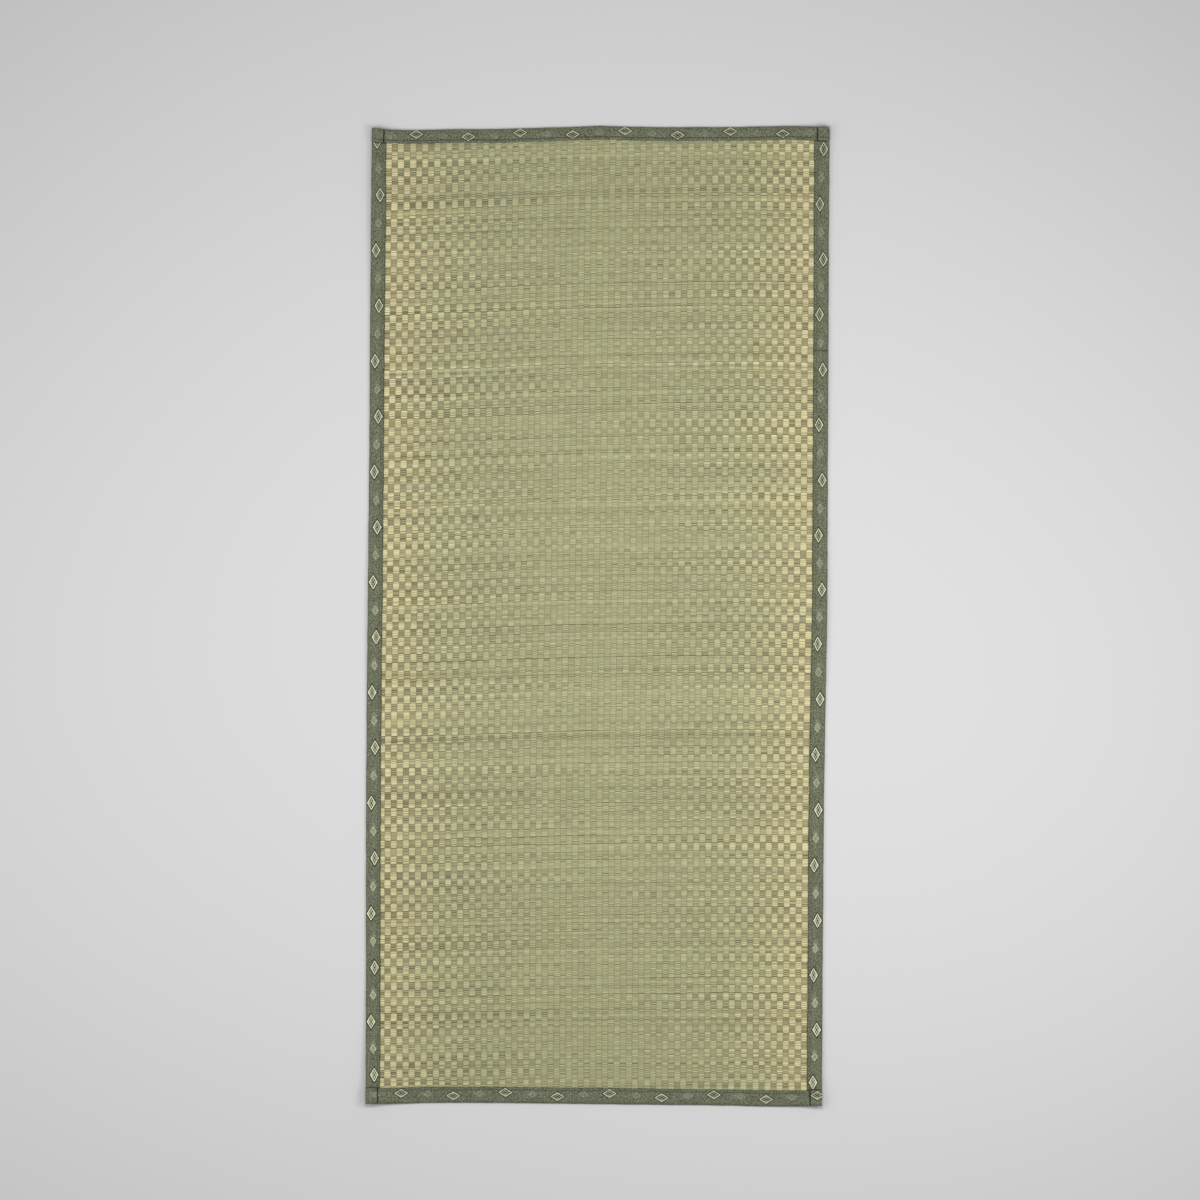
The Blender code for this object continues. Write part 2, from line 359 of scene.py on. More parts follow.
def rim_quads(quads, count):
    """Faces between the open edges of an outer skin and the inner skin numbered after it."""
    sides = np.stack((quads, np.roll(quads, -1, axis=1)), axis=-1).reshape(-1, 2)
    ahead = sides[:, 0] * count + sides[:, 1]
    back = sides[:, 1] * count + sides[:, 0]
    first, second = sides[~np.isin(ahead, back)].T
    return np.stack((second, first, first + count, second + count), axis=-1)


def cloth(name, outer, inner, flat, marks, finish, keep=None, bands=1):
    """Closed piece of cloth between two grids of points; flat gives each point's place on the cut."""
    if keep is None:
        keep = np.ones((outer.shape[0] - 1, outer.shape[1] - 1), dtype=bool)
    count = outer.shape[0] * outer.shape[1]
    face = grid_quads(outer.shape[:2], keep)
    points = np.concatenate((outer.reshape(-1, 3), inner.reshape(-1, 3)))
    rim = rim_quads(face, count)
    edge = points[face[:, 1]] - points[face[:, 0]]
    side = points[face[:, 3]] - points[face[:, 0]]
    facing = np.einsum("ij,ij->i", np.cross(edge, side), points[face[:, 0]] - points[face[:, 0] + count])
    quads = np.concatenate((face, face[:, ::-1] + count, rim))
    uvs = np.concatenate((
        band_uvs(flat.reshape(-1, 2)[face], bands, 0.20, 0.78),
        band_uvs(flat.reshape(-1, 2)[face[:, ::-1]], bands, 0.03, 0.15),
        rim_uvs(len(rim)),
    ))
    if facing.mean() < 0:
        quads = quads[:, ::-1]
        uvs = uvs[:, ::-1]
    both = {mark: np.concatenate((values.reshape(-1, 3),) * 2) for mark, values in marks.items()}
    piece = add_piece(name, points, quads, uvs, both, finish)
    piece.data.set_sharp_from_angle(angle=math.radians(50))
    return piece


def band_uvs(flat, bands, bottom, height):
    """Bake layout of a skin: its length cut into bands that lie one above the other."""
    start = flat[..., 0].min()
    length = (flat[..., 0].max() - start) / bands
    width = flat[..., 1].max() - flat[..., 1].min()
    band = np.minimum(((flat[..., 0].mean(axis=1) - start) / length).astype(int), bands - 1)[:, None]
    u = 0.01 + 0.96 * (flat[..., 0] - start - band * length) / length
    room = height / bands
    v = bottom + room * band + 0.92 * room * (flat[..., 1] - flat[..., 1].min()) / width
    return np.stack((u, v), axis=-1)


def cell_corners(left, low, right, high):
    """Bake corners of rectangular cells."""
    sides = np.broadcast_arrays(left, low, right, low, right, high, left, high)
    return np.stack(sides, axis=-1).reshape(-1, 4, 2)


def rim_uvs(count):
    """Bake layout of the rim's faces: one row of small cells."""
    left = 0.01 + 0.98 * np.arange(count) / count
    return cell_corners(left, 0.004, left + 0.96 / count, 0.02)


# Woven rushes

def pick_line(pick):
    """Floor position of a pick at the left tape, from its number."""
    pair = (pick - PICK_ZERO) / (2 * PICKS_PER_CHECK)
    even = FIRST_PAIR - PAIR_PITCH * pair - PITCH_GROWTH * pair ** 2 + PITCH_FADE * pair ** 3
    return even + read_off(PICK_DRIFT, even)


def field_share(across):
    """Share of the way across the rushes that show."""
    return across / FIELD_WIDTH + 0.5


def pick_rise(across, y):
    """How far the picks have risen from the left tape."""
    return read_off(RISE_SHARE, np.clip(field_share(across), 0, 1)) * read_off(PICK_RISE, y)


def column_place(column, y):
    """Place across of a column's left side; column may be a fraction."""
    start = -MAT_WIDTH / 2 + SIDE_TAPE_WIDTH
    return start + (column - 1 + read_off(FIRST_COLUMN, y)) * COLUMN_PITCH


def weave_columns():
    """Column positions of the relief's points, as column numbers with fractions, and their arch."""
    stops = list(zip(COLUMN_STEPS, COLUMN_ARCH))
    steps = [(column + step, arch) for column in range(COLUMNS) for step, arch in stops]
    steps += [(COLUMNS + step, arch) for step, arch in stops[:3]]
    return np.array(steps).T


def relief_height(column, arch, pick):
    """Thickness of the rushes at the relief's points: floats stand up, hidden picks lie low."""
    check = pick // PICKS_PER_CHECK
    floats = (pick % 2) == ((column + check) % 2)
    at_gap = (pick % PICKS_PER_CHECK == 0) | (pick % PICKS_PER_CHECK == PICKS_PER_CHECK - 1)
    low = np.where(at_gap, CHECK_GAP, VALLEY)
    height = np.where(floats, CREST, low)
    plump = chance.normal(scale=0.00009, size=(LAST_PICK + 2, COLUMNS + 1))
    height = height + np.where(floats, plump[pick, column], 0)
    return DIVE + (height - DIVE) * arch


def bulge(step, column, pick):
    """How far points move because the thick roots of the rushes crowd the thin tips beside them."""
    check = pick // PICKS_PER_CHECK
    inset = step - column
    height = (pick % PICKS_PER_CHECK + 0.5) / PICKS_PER_CHECK
    crowding = (1 - 2 * ((column + check) % 2)) * (1 - 2 * step / COLUMNS_SHOWN)
    sideways = -BULGE_ACROSS * crowding * np.cos(math.pi * inset) * np.sin(math.pi * height)
    lengthways = BULGE_ALONG * crowding * 4 * inset * (1 - inset) * np.cos(math.pi * height)
    return sideways, lengthways


def woven_rushes(finish):
    """The face of the rushes as relief, in strips along the mat."""
    steps, arch = weave_columns()
    picks = np.arange(FIRST_PICK, LAST_PICK + 1)
    pick, step = np.meshgrid(picks, steps, indexing="ij")
    size = pick.shape
    column = np.floor(step + 1e-6).astype(int)
    y = pick_line(pick + 0.5) + 0.00042 * soft_noise(size, (240, 10)) + 0.00030 * soft_noise(size, (120, 36))
    y = y + 0.00026 * soft_noise(size, (950, 24)).clip(-1.6, 1.6)
    sideways, lengthways = bulge(step, column, pick)
    y = y + lengthways
    across = column_place(step, y) + 0.00035 * soft_noise(size, (40, 30))
    across = across + 0.00016 * soft_noise(size, (240, 72)) + sideways
    y = y + pick_rise(across, y)
    along = along_at(across, y)
    x, y = on_floor(across, along)
    clear = clear_of_tapes(across, along)
    bare = 1 - eased(clear, 0.0001, 0.0030)
    thick = RIM_THICK + (relief_height(column, arch[None, :], pick) - RIM_THICK) * bare
    points = np.stack((x, y, rush_underside(across, along) + thick), axis=-1)
    normals = grid_normals(points)
    normals *= np.sign(normals[..., 2:])
    inside = clear > -RELIEF_TUCK
    keep = inside[:-1, :-1] & inside[:-1, 1:] & inside[1:, 1:] & inside[1:, :-1]
    weave = np.stack((step, pick + 0.5, np.zeros(size)), axis=-1)
    cuts = np.linspace(0, size[0] - 1, STRIP_COUNT + 1).astype(int)
    return [relief_strip(index, points[a:b + 1], normals[a:b + 1], weave[a:b + 1], keep[a:b], finish)
            for index, (a, b) in enumerate(zip(cuts[:-1], cuts[1:]))]


def relief_strip(index, points, normals, weave, keep, finish):
    """One strip of the woven face."""
    quads = grid_quads(points.shape[:2], keep)[:, ::-1]
    flat = points.reshape(-1, 3)[:, :2][quads]
    low = flat.min(axis=(0, 1))
    uvs = 0.01 + 0.98 * (flat - low) / (flat.max(axis=(0, 1)) - low)
    marks = {"weave": weave.reshape(-1, 3)}
    piece = add_piece(f"woven_rushes_{index + 1}", points.reshape(-1, 3), quads, uvs, marks, finish)
    kept = np.unique(quads)
    piece.data.normals_split_custom_set_from_vertices(normals.reshape(-1, 3)[kept].tolist())
    return piece


def rush_back(finish):
    """The body of the rushes under the relief, down to the floor."""
    places = np.concatenate((
        np.linspace(-1, -0.72, 12),
        np.linspace(-0.68, 0.68, 15),
        np.linspace(0.72, 1, 12),
    )) * (MAT_WIDTH / 2 - RIM_INSET)
    stations = np.concatenate((
        np.linspace(-1, -0.90, 14),
        np.linspace(-0.89, 0.89, 130),
        np.linspace(0.90, 1, 14),
    )) * (MAT_LENGTH / 2 - RIM_INSET)
    along, across = np.meshgrid(stations, places, indexing="ij")
    x, y = on_floor(across, along)
    below = rush_underside(across, along)
    rim = eased(clear_of_tapes(across, along), -0.0060, -0.0020)
    thick = SLAB_THICK + (RIM_THICK - 0.0001 - SLAB_THICK) * rim
    outer = np.stack((x, y, below + thick), axis=-1)
    inner = np.stack((x, y, below), axis=-1)
    picks = np.linspace(0, 1000, 400)
    pick = np.interp(-(y - pick_rise(across, y)), -pick_line(picks), picks)
    step = (across - column_place(1, y)) / COLUMN_PITCH + 1
    weave = np.stack((step, pick, np.zeros(y.shape)), axis=-1)
    flat = np.stack((along, across), axis=-1)
    return cloth("rush_back", outer, inner, flat, {"weave": weave}, finish)


# Tapes

def face_table(width):
    """Rise of a tape's face over its flat line by depth from the mat's edge."""
    seam = width - SEAM_INSET
    return np.array((
        (FOLD_DEPTH, 0.0),
        (0.5 * seam, CROWN_RISE),
        (seam - CROWN_START, SHOULDER_RISE),
        (seam, 0.0),
        (width - LIP_WIDTH, LIP_RISE),
        (width, 0.0),
    ))


# Columns of a tape's profile
DEPTH, LEVEL, RISE, OUT, UP = range(5)


def tape_profile(width):
    """Points round a folded tape from its inner edge on the face to its edge underneath.

    Columns: depth from the mat's edge, level (1 face, 0 underneath), rise, outward part, upward part.
    """
    seam = width - SEAM_INSET
    depths = np.concatenate((
        width - np.array((0, 0.0008, 0.0017, 0.0026, 0.0034, 0.0041)),
        seam - np.array((0, 0.0006, 0.0013, 0.0022)),
        np.linspace(seam - 0.0042, FOLD_DEPTH + 0.0016, 6),
    ))
    flat, upright = np.zeros(len(depths)), np.ones(len(depths))
    face = np.column_stack((depths, upright, read_off(face_table(width), depths), flat, upright))
    angles = np.radians(np.linspace(90, -90, 9))
    out, up = np.cos(angles), np.sin(angles)
    fold = np.column_stack((FOLD_DEPTH * (1 - out), 0.5 + 0.5 * up, np.zeros(9), out, up))
    under = np.array(((0.008, 0, 0, 0, -1), (0.014, 0, 0, 0, -1), (UNDER_WIDTH, 0, 0, 0, -1)))
    return np.concatenate((face, fold, under))


def profile_arc(profile):
    """Distance round the tape from its inner edge on the face."""
    height = 0.005 * profile[:, LEVEL]
    steps = np.hypot(np.diff(profile[:, DEPTH]), np.diff(height))
    return np.concatenate(((0,), np.cumsum(steps)))


# The run of pale diamonds on each tape: (place, number) along it, then the depth of the row's middle, which
# way the even ones swing, and how pale they are at the far and the near end, a painted sheen of the pale
# thread
MOTIF_RUNS = {
    "side_tape_left": (
        ((-0.7862, 17), (-0.7020, 16), (-0.6208, 15), (-0.4551, 13), (-0.0320, 8), (0.1363, 6), (0.4755, 2),
         (0.6452, 0), (0.7265, -1), (0.8109, -2)),
        0.01055, 0, (0.75, 1.10)),
    "side_tape_right": (
        ((-0.7980, 18), (-0.7138, 17), (-0.6333, 16), (-0.4662, 14), (-0.0423, 9), (0.1239, 7), (0.5466, 2),
         (0.7154, 0), (0.7996, -1)),
        0.01120, 1, (0.65, 1.10)),
    "end_tape_far": (
        ((-0.4377, -2), (-0.2775, 0), (-0.1185, 2), (0.1226, 5), (0.2840, 7), (0.4442, 9)),
        0.00900, 1, (0.62, 0.62)),
    "end_tape_near": (
        ((-0.4601, -2), (-0.3007, 0), (-0.1412, 2), (0.0981, 5), (0.2582, 7), (0.3365, 8), (0.4162, 9)),
        0.01330, 0, (0.72, 0.72)),
}


def motif_marks(name, run_place, depth):
    """Mark for the finish: place in the run of diamonds, depth from its middle line, and how strong the
    painted sheen of the pale thread is.
    """
    places, middle, swing, thread_sheen = MOTIF_RUNS[name]
    at, number = np.array(places).T
    share = np.clip(0.5 - run_place / MAT_LENGTH, 0, 1)
    # power: the painted sheen of the pale thread, changing from the far end to the near end
    power = thread_sheen[0] + (thread_sheen[1] - thread_sheen[0]) * share
    return np.stack((np.interp(run_place, at, number) + swing + 20, depth - middle, power), axis=-1)


def side_stations():
    """Places along a side tape, closer together where the end tapes cross it."""
    even = np.linspace(RIM_INSET - MAT_LENGTH / 2, MAT_LENGTH / 2 - RIM_INSET, 466)
    beside = np.linspace(-0.0008, 0.0024, 7)
    near = NEAR_TAPE_WIDTH + beside - MAT_LENGTH / 2
    far = MAT_LENGTH / 2 - FAR_TAPE_WIDTH - beside
    join = JOIN_PLACE + np.linspace(-0.0015, 0.0015, 9)
    return np.unique(np.concatenate((even, near, far, join)))


def cloth_waves(run):
    """How far a tape's fold and its inner edge stray from their lines along its run."""
    fold = 0.00012 * soft_line(run, 0.020) + 0.00008 * soft_line(run, 0.007)
    lip = 0.00022 * soft_line(run, 0.030) + 0.00012 * soft_line(run, 0.008)
    return fold[:, None], lip[:, None]


def join_lap(along):
    """Share of its rise that the right tape's far length has over the near one."""
    beyond = 1 - eased(along, JOIN_PLACE - JOIN_EDGE, JOIN_PLACE + JOIN_EDGE)
    return beyond * eased(along, JOIN_PLACE, JOIN_PLACE + JOIN_LAP)


def side_tape(name, side, finish):
    """Tape folded round one long edge; side is -1 for the left edge and 1 for the right."""
    width = SIDE_TAPE_WIDTH if side > 0 else LEFT_TAPE_WIDTH
    profile = tape_profile(width)
    on_face = profile[:, UP].clip(0, 1)
    stations = side_stations()
    along, depth = np.meshgrid(stations, profile[:, DEPTH], indexing="ij")
    fold, lip = cloth_waves(stations)
    share = np.clip(depth / width, 0, 1) * on_face
    moved = depth + fold * (1 - share) + lip * share
    across = side * (MAT_WIDTH / 2 - moved)
    inward = side * (MAT_WIDTH / 2 - np.maximum(depth, FOLD_DEPTH))
    covered = eased(from_end(along) - end_tape_width(along), RUSH_START, RIB_FADE)
    bottom = lift(inward, along) + LAYER * on_end_tape(along)
    top = rush_underside(inward, along) + RIM_THICK + LAYER
    rise = profile[:, RISE] + on_face * seam_puckers(stations, depth, width)
    height = bottom + (top - bottom) * profile[:, LEVEL] + rise * (1 - covered)
    # Painted shadow: a dark line on the side tape beside the end tape's edge, and at the right tape's lapped
    # join
    painted_shadow_line = line_mark(from_end(along) - end_tape_width(along), 0.0003, 0.0009)
    if side > 0:
        height = height + JOIN_RISE * join_lap(along) * on_face
        join = line_mark(along, JOIN_PLACE - 0.0006, 0.0011) * (0.75 - 0.35 * depth / width)
        painted_shadow_line = np.maximum(painted_shadow_line, join)
    x, y = on_floor(across, along)
    outer = np.stack((x, y, height), axis=-1)
    piece = folded_tape(name, outer, along, y, depth, profile, painted_shadow_line * on_face, finish)
    return piece, outer[BARE_SECTIONS:-BARE_SECTIONS]


def seam_puckers(run, depth, width):
    """Small rise and fall of the cloth beside the seam, from the sewing."""
    beside_seam = np.exp(-((depth - (width - SEAM_INSET - 0.0028)) / 0.0045) ** 2)
    wave = 0.00014 * soft_line(run, 0.006) + 0.00010 * soft_line(run, 0.016)
    return beside_seam * wave[:, None]


def end_sections():
    """Sections of an end tape from the left tail's end to the right's: place across, rise, turned or not."""
    tail = [(share * TAB_LENGTH, TAIL_GAP, 1) for share in np.linspace(1, 0.16, 8)]
    for angle in np.radians(np.linspace(90, -30, 7)):
        tail.append((TAB_START - TURN_RADIUS * math.cos(angle), TURN_RADIUS * (1 + math.sin(angle)), 1))
    beside_tail = TAB_LENGTH + np.linspace(-0.0010, 0.0022, 9)
    depths = np.concatenate((np.linspace(TAB_START, 0.0148, 5), beside_tail, (0.0207, 0.0220)))
    tail += [(depth, 0, 0) for depth in depths]
    left = [(depth - MAT_WIDTH / 2, rise, turned) for depth, rise, turned in tail]
    right = [(MAT_WIDTH / 2 - depth, rise, turned) for depth, rise, turned in reversed(tail)]
    even = np.linspace(EVEN_START - MAT_WIDTH / 2, MAT_WIDTH / 2 - EVEN_START, 220)
    middle = [(place, 0, 0) for place in even]
    return np.array(left + middle + right)


def end_tape(name, end, width, finish):
    """Tape folded round one end, over the side tapes, its tails turned back at the corners."""
    profile = tape_profile(width)
    on_face = profile[:, UP].clip(0, 1)
    place, raised, tail = end_sections().T
    across, depth = np.meshgrid(place, profile[:, DEPTH], indexing="ij")
    run = np.linspace(0, END_TAPE_RUN, len(place))
    fold, lip = cloth_waves(run)
    share = np.clip(depth / width, 0, 1) * on_face
    free = (1 - eased(from_side(across), 0.004, 0.030)) * (1 - tail[:, None])
    moved = depth + (fold * (1 - share) + lip * share) * free
    inward = end * (MAT_LENGTH / 2 - np.maximum(depth, FOLD_DEPTH))
    climb = eased(from_side(across), CLIMB_END, CLIMB_START)
    bottom = lift(across, inward)
    top = rush_underside(across, inward) + RIM_THICK + LAYER * (1 + climb)
    rise = profile[:, RISE] + on_face * seam_puckers(run, depth, width)
    height = bottom + (top - bottom) * profile[:, LEVEL] + rise * (1 - climb)
    moved = moved - raised[:, None] * profile[:, OUT]
    height = height + raised[:, None] * profile[:, UP]
    x, y = on_floor(across, end * (MAT_LENGTH / 2 - moved))
    outer = np.stack((x, y, height), axis=-1)
    gone = (tail[:, None] > 0) & (profile[None, :, UP] < TAIL_REACH)
    keep = ~(gone[:-1, :-1] | gone[:-1, 1:] | gone[1:, 1:] | gone[1:, :-1])
    run_place = np.concatenate(((0,), np.cumsum(np.hypot(np.diff(place), np.diff(raised)))))
    run_place = np.broadcast_to(run_place[:, None], depth.shape)
    # Painted shadow: a dark line beside the end of each turned-back tail
    painted_shadow_line = line_mark(from_side(across) - TAB_LENGTH, 0.0008, 0.0015) * (1 - tail[:, None])
    piece = folded_tape(name, outer, run_place, x, depth, profile, painted_shadow_line * on_face, finish, keep)
    return piece, outer[np.abs(place) < MAT_WIDTH / 2 - STITCH_START]


def line_mark(distance, place, reach):
    """One on a line at a place, falling off to zero within a reach of it."""
    return np.exp(-((distance - place) / reach) ** 2)


def folded_tape(name, outer, run, run_place, depth, profile, painted_shadow_line, finish, keep=None):
    """Closed tape from its outer skin, with its marks; the solid that it stands for is hidden."""
    normals = grid_normals(outer)
    middle = normals[normals.shape[0] // 2, 3]
    if middle[2] < 0:
        normals = -normals
    inner = outer - TAPE_THICK * normals
    arc = np.broadcast_to(profile_arc(profile), depth.shape)
    face = np.where(profile[:, UP] > -0.5, depth, -depth)
    marks = {
        "motif": motif_marks(name, run_place, face),
        # The cloth mark's third number is the painted shadow line
        "cloth": np.stack((run, arc, painted_shadow_line), axis=-1),
    }
    flat = np.stack((run, arc), axis=-1)
    bands = 5 if "side" in name else 3
    piece = cloth(name + "_cloth", outer, inner, flat, marks, finish, keep, bands)
    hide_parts(name)
    return piece


# Sewing

def stitch_faces(rings, sides):
    """Faces of one stitch: its round body and two caps."""
    number = np.arange(rings * sides).reshape(rings, sides)
    round_next = np.roll(number, -1, axis=1)
    body = np.stack((number[:-1], round_next[:-1], round_next[1:], number[1:]), axis=-1).reshape(-1, 4)
    caps = np.array(((0, 1, 2, 3), (0, 3, 4, 5)))
    return np.concatenate((body, caps[:, ::-1], caps + (rings - 1) * sides))


def stitches(name, outer, finish):
    """Run of thread stitches along a tape's seam, each one a small closed float of thread."""
    line = outer[:, SEAM_COLUMN]
    steps = np.linalg.norm(np.diff(line, axis=0), axis=1)
    run = np.concatenate(((0,), np.cumsum(steps)))
    starts = np.arange(0.004, run[-1] - 0.005, STITCH_PITCH)
    stations, radius, rise = STITCH.T
    angles = np.arange(STITCH_SIDES) * 2 * math.pi / STITCH_SIDES
    place = starts[:, None] + stations[None, :] + chance.normal(scale=0.00012, size=(len(starts), 1))
    centre = np.stack([np.interp(place, run, line[:, axis]) for axis in range(3)], axis=-1)
    centre[..., 2] += rise
    heading = centre[:, -1] - centre[:, 0]
    heading /= np.linalg.norm(heading, axis=1, keepdims=True)
    sideways = np.cross(heading, (0.0, 0.0, 1.0))
    upward = np.cross(sideways, heading)
    ring = np.cos(angles)[None, :, None] * sideways[:, None] + np.sin(angles)[None, :, None] * upward[:, None]
    points = centre[:, :, None] + radius[None, :, None, None] * ring[:, None]
    per = len(stations) * STITCH_SIDES
    unit = stitch_faces(len(stations), STITCH_SIDES)
    quads = (unit[None] + per * np.arange(len(starts))[:, None, None]).reshape(-1, 4)
    grid = math.ceil(math.sqrt(len(starts)))
    cell = np.stack((np.arange(len(starts)) % grid, np.arange(len(starts)) // grid), axis=-1) / grid
    uvs = cell[:, None, None] + stitch_uvs(len(stations), STITCH_SIDES)[None] / grid
    marks = {"cloth": np.stack((
        np.broadcast_to(place[:, :, None], points.shape[:3]),
        np.broadcast_to(angles[None, None, :] * 0.0003, points.shape[:3]),
        np.zeros(points.shape[:3]),
    ), axis=-1).reshape(-1, 3)}
    piece = add_piece(name, points.reshape(-1, 3), quads, uvs.reshape(-1, 4, 2), marks, finish)
    return piece


def stitch_uvs(rings, sides):
    """Bake layout of one stitch inside a unit cell."""
    ring, side = np.meshgrid(np.arange(rings - 1), np.arange(sides), indexing="ij")
    body = cell_corners(side / sides, ring / rings, (side + 1) / sides, (ring + 1) / rings)
    spots = np.arange(4) / 4
    caps = cell_corners(spots, 0.90, spots + 0.2, 0.98)
    return 0.05 + 0.90 * np.concatenate((body, caps))


# Finishes

class Signal:
    """A socket in a finish; arithmetic on it adds Math nodes."""

    def __init__(self, finish, socket):
        self.finish = finish
        self.socket = socket

    def math(self, operation, *values):
        """Signal worked out from values by one Math node."""
        return self.finish.node("ShaderNodeMath", {"operation": operation}, dict(enumerate(values)))

    def __add__(self, other):
        return self.math("ADD", self, other)

    def __radd__(self, other):
        return self.math("ADD", other, self)

    def __sub__(self, other):
        return self.math("SUBTRACT", self, other)

    def __rsub__(self, other):
        return self.math("SUBTRACT", other, self)

    def __mul__(self, other):
        return self.math("MULTIPLY", self, other)

    def __rmul__(self, other):
        return self.math("MULTIPLY", other, self)

    def __truediv__(self, other):
        return self.math("DIVIDE", self, other)

    def __mod__(self, other):
        return self.math("FLOORED_MODULO", self, other)

    def __abs__(self):
        return self.math("ABSOLUTE", self)

    def __floor__(self):
        return self.math("FLOOR", self)

    def fraction(self):
        return self.math("FRACT", self)

    def sine(self):
        return self.math("SINE", self)

    def largest(self, other):
        return self.math("MAXIMUM", self, other)

    def smallest(self, other):
        return self.math("MINIMUM", self, other)

    def fall(self, full, none):
        """One at full, zero at none, with a soft slope between."""
        settings = {"interpolation_type": "SMOOTHSTEP"}
        sockets = {"Value": self, "From Min": full, "From Max": none, "To Min": 1.0, "To Max": 0.0}
        return self.finish.node("ShaderNodeMapRange", settings, sockets)


class Finish:
    """A material in the making."""

    def __init__(self, name):
        self.material = bpy.data.materials.new(name)
        self.material.use_nodes = True
        self.tree = self.material.node_tree
        self.shader = self.tree.nodes["Principled BSDF"]

    def feed(self, socket, value):
        """Link a signal to a socket, or set the socket's own value."""
        if isinstance(value, Signal):
            self.tree.links.new(value.socket, socket)
        else:
            socket.default_value = value

    def node(self, kind, settings=None, sockets=None, out=0):
        """New node with its settings made first, then its sockets fed; gives one output."""
        made = self.tree.nodes.new(kind)
        for key, value in (settings or {}).items():
            if key == "stops":
                set_stops(made.color_ramp, value)
            else:
                setattr(made, key, value)
        for key, value in (sockets or {}).items():
            self.feed(made.inputs[key], value)
        return Signal(self, made.outputs[out])

    def mark(self, name):
        """The three numbers that the mesh carries under a name."""
        vector = self.node("ShaderNodeAttribute", {"attribute_name": name}, out=1)
        first = self.node("ShaderNodeSeparateXYZ", None, {0: vector})
        return [Signal(self, socket) for socket in first.socket.node.outputs]

    def vector(self, x, y, z=0.0):
        """Vector from three numbers or signals."""
        return self.node("ShaderNodeCombineXYZ", None, {0: x, 1: y, 2: z})

    def blend(self, share, first, second):
        """Colour between two colours."""
        return self.node("ShaderNodeMix", {"data_type": "RGBA"}, {0: share, 6: first, 7: second}, out=2)

    def tinted(self, colour, tint, share=1.0):
        """Colour multiplied by a tint."""
        settings = {"data_type": "RGBA", "blend_type": "MULTIPLY"}
        return self.node("ShaderNodeMix", settings, {0: share, 6: colour, 7: tint}, out=2)

    def grey(self, value):
        """Grey of one value."""
        return self.node("ShaderNodeCombineColor", None, {0: value, 1: value, 2: value})

    def chance(self, x, y=0.0):
        """One chance value for each pair of whole numbers."""
        return self.node("ShaderNodeTexWhiteNoise", {"noise_dimensions": "2D"}, {"Vector": self.vector(x, y)})

    def cloudy(self, x, y, scale, detail=2.0, z=0.0):
        """Smooth noise about one half."""
        sockets = {"Vector": self.vector(x, y, z), "Scale": scale, "Detail": detail}
        return self.node("ShaderNodeTexNoise", {"noise_dimensions": "3D"}, sockets)

    def raised(self, height, distance):
        """Normal of a surface raised by a height signal times distance."""
        bump = self.node("ShaderNodeBump", None, {"Strength": 1.0, "Distance": distance, "Height": height})
        self.feed(self.shader.inputs["Normal"], bump)


def set_stops(ramp, stops):
    """Give a colour ramp its stops."""
    while len(ramp.elements) < len(stops):
        ramp.elements.new(1.0)
    for element, (place, colour) in zip(ramp.elements, stops):
        element.position = place
        element.color = colour


def shade(red, green, blue, gain=1.0):
    """Colour from the 0 to 255 values that a screen shows, as light values."""
    parts = []
    for value in (red, green, blue):
        part = value / 255
        part = part / 12.92 if part <= 0.04045 else ((part + 0.055) / 1.055) ** 2.4
        parts.append(part * gain)
    return (*parts, 1.0)


def rush_tones():
    """Stops of one rush from its pale root to its duller tip."""
    tones = (
        (0.00, (208, 198, 151)), (0.07, (194, 188, 143)), (0.13, (183, 181, 137)), (0.24, (173, 173, 132)),
        (0.50, (167, 166, 126)), (0.76, (167, 165, 125)), (0.90, (170, 167, 125)), (1.00, (173, 168, 125)),
    )
    return [(place, shade(*tone, RUSH_GAIN)) for place, tone in tones]


def pick_layout(step, pick):
    """Column, check, which way it starts, place in it, the pick seen there and how far over that pick."""
    column = math.floor(step)
    check = math.floor(pick / PICKS_PER_CHECK)
    side = (column + check) % 2
    within = pick - check * PICKS_PER_CHECK
    turn = math.floor((within - side + 0.5) / 2).largest(0).smallest(3)
    number = check * PICKS_PER_CHECK + side + turn * 2
    start = turn * 2 + (side - 0.5) * turn.smallest(1)
    end = turn * 2 + 2 + (side - 0.5) * (3 - turn).smallest(1)
    lean = (within - start) / (end - start) * 2 - 1
    return column, check, side, within, number, lean


def rush_colour(rush, step, column, check, number, from_root, tip, root):
    """Colour of the rush seen: from root to tip, with its own lightness, a painted glint on a few picks, and
    its batch's tint.
    """
    colour = rush.node("ShaderNodeValToRGB", {"stops": rush_tones()}, {0: from_root})
    own = rush.chance(number)
    bit = rush.chance(number, column + 7)
    drift = rush.cloudy(step * 0.30, number * 3.7, 1.0)
    odd = rush.chance(number, 91.0)
    light = 1.0 + (own - 0.5) * (0.18 + 0.16 * tip + 0.10 * root) + (bit - 0.5) * (0.18 + 0.20 * tip)
    # The last term is a painted highlight: a glint that lights a few picks paler, broken by column
    light = light + (drift - 0.5) * 0.42 + odd.fall(1.0, 0.86) * bit * 0.20
    colour = rush.tinted(colour, rush.grey(light))

    batch = rush.chance(check, 61.0)
    brown = (odd.fall(0.0, 0.36) * 0.75 + batch.fall(0.20, 0.50) * 0.20) * tip
    colour = rush.tinted(colour, shade(224, 208, 194), brown.smallest(1.0))
    green = batch.fall(0.95, 0.60) * tip * 0.5
    colour = rush.tinted(colour, shade(242, 252, 244), green)
    violet = odd.fall(0.44, 0.36) * (1 - odd.fall(0.30, 0.36)) * tip * 0.7
    colour = rush.tinted(colour, shade(222, 216, 230), violet)
    straw = odd.fall(1.0, 0.84) * root * 0.8
    colour = rush.blend(straw, colour, shade(219, 208, 159, RUSH_GAIN))
    grey_green = bit.fall(1.0, 0.70) * 0.7
    colour = rush.tinted(colour, shade(238, 246, 242), grey_green)
    tan = bit.fall(0.0, 0.30) * 0.35
    return rush.tinted(colour, shade(255, 245, 232), tan)


